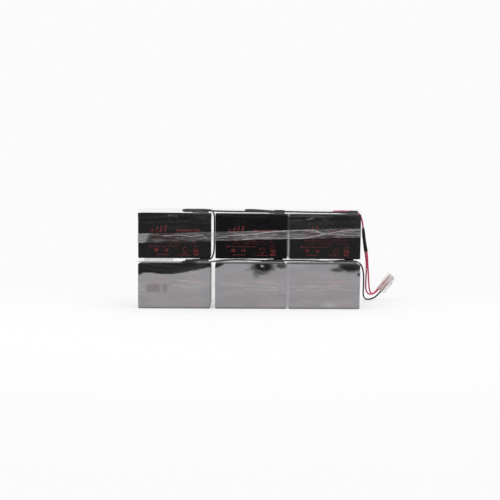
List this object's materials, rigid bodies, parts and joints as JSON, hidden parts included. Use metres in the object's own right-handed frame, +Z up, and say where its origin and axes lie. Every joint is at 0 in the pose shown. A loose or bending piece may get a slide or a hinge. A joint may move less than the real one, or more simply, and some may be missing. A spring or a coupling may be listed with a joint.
{
  "type": "ups battery cartridge",
  "caption": "Battery cartridge for a rack power supply: two stacked rows of sealed lead-acid batteries in clear film, wired in series, with leads ending in a clear connector.",
  "frame": {"origin": "middle of the footprint of the batteries, on the surface that the cartridge stands on", "axes": "+X along the rows towards the end with the leads, -Y out of the label faces, +Z up"},
  "size_m": [0.5745, 0.1492, 0.21],
  "materials": {
    "case_plastic": "fine moulded texture",
    "vent_plastic": "satin",
    "terminal_tin": "dull tin plate",
    "seal_black": "poured resin",
    "seal_red": "poured resin",
    "receptacle_tin": "stamped, tin plate",
    "boot_vinyl": "soft vinyl",
    "clear_film": "clear film with a milky haze",
    "clear_tape": "clear tape, wrinkled",
    "pad_foam": "closed-cell foam",
    "wire_black": "satin insulation",
    "wire_red": "satin insulation",
    "sleeve_black": "shrunk tube",
    "connector_nylon": "natural nylon",
    "contact_brass": "tinned brass"
  },
  "bodies": {
    "root": {"black_lead": "wire_black", "connector_housing": "connector_nylon", "container_lower_left": "case_plastic", "container_lower_middle": "case_plastic", "container_lower_right": "case_plastic", "container_upper_left": "case_plastic", "container_upper_middle": "case_plastic", "container_upper_right": "case_plastic", "crimp_contacts": "contact_brass", "film_sleeve_lower": "clear_film", "film_sleeve_upper": "clear_film", "flag_receptacles_lower": "receptacle_tin", "flag_receptacles_upper": "receptacle_tin", "heat_shrink_sleeve": "sleeve_black", "lid_lower_left": "case_plastic", "lid_lower_middle": "case_plastic", "lid_lower_right": "case_plastic", "lid_upper_left": "case_plastic", "lid_upper_middle": "case_plastic", "lid_upper_right": "case_plastic", "link_lower_left_to_middle": "wire_black", "link_lower_middle_to_right": "wire_black", "link_upper_left_to_middle": "wire_black", "link_upper_middle_to_right": "wire_black", "negative_terminal_lower_left": "terminal_tin", "negative_terminal_lower_middle": "terminal_tin", "negative_terminal_lower_right": "terminal_tin", "negative_terminal_seals": "seal_black", "negative_terminal_upper_left": "terminal_tin", "negative_terminal_upper_middle": "terminal_tin", "negative_terminal_upper_right": "terminal_tin", "positive_terminal_lower_left": "terminal_tin", "positive_terminal_lower_middle": "terminal_tin", "positive_terminal_lower_right": "terminal_tin", "positive_terminal_seals": "seal_red", "positive_terminal_upper_left": "terminal_tin", "positive_terminal_upper_middle": "terminal_tin", "positive_terminal_upper_right": "terminal_tin", "positive_wire": "wire_red", "red_lead_front": "wire_red", "red_lead_rear": "wire_red", "row_link_wire": "wire_black", "spacer_pad_left": "pad_foam", "spacer_pad_middle": "pad_foam", "spacer_pad_right": "pad_foam", "tape_band_lower": "clear_tape", "tape_band_upper": "clear_tape", "terminal_boots_lower": "boot_vinyl", "terminal_boots_upper": "boot_vinyl", "vent_cover_lower_left": "vent_plastic", "vent_cover_lower_middle": "vent_plastic", "vent_cover_lower_right": "vent_plastic", "vent_cover_upper_left": "vent_plastic", "vent_cover_upper_middle": "vent_plastic", "vent_cover_upper_right": "vent_plastic"}
  },
  "joints": []
}
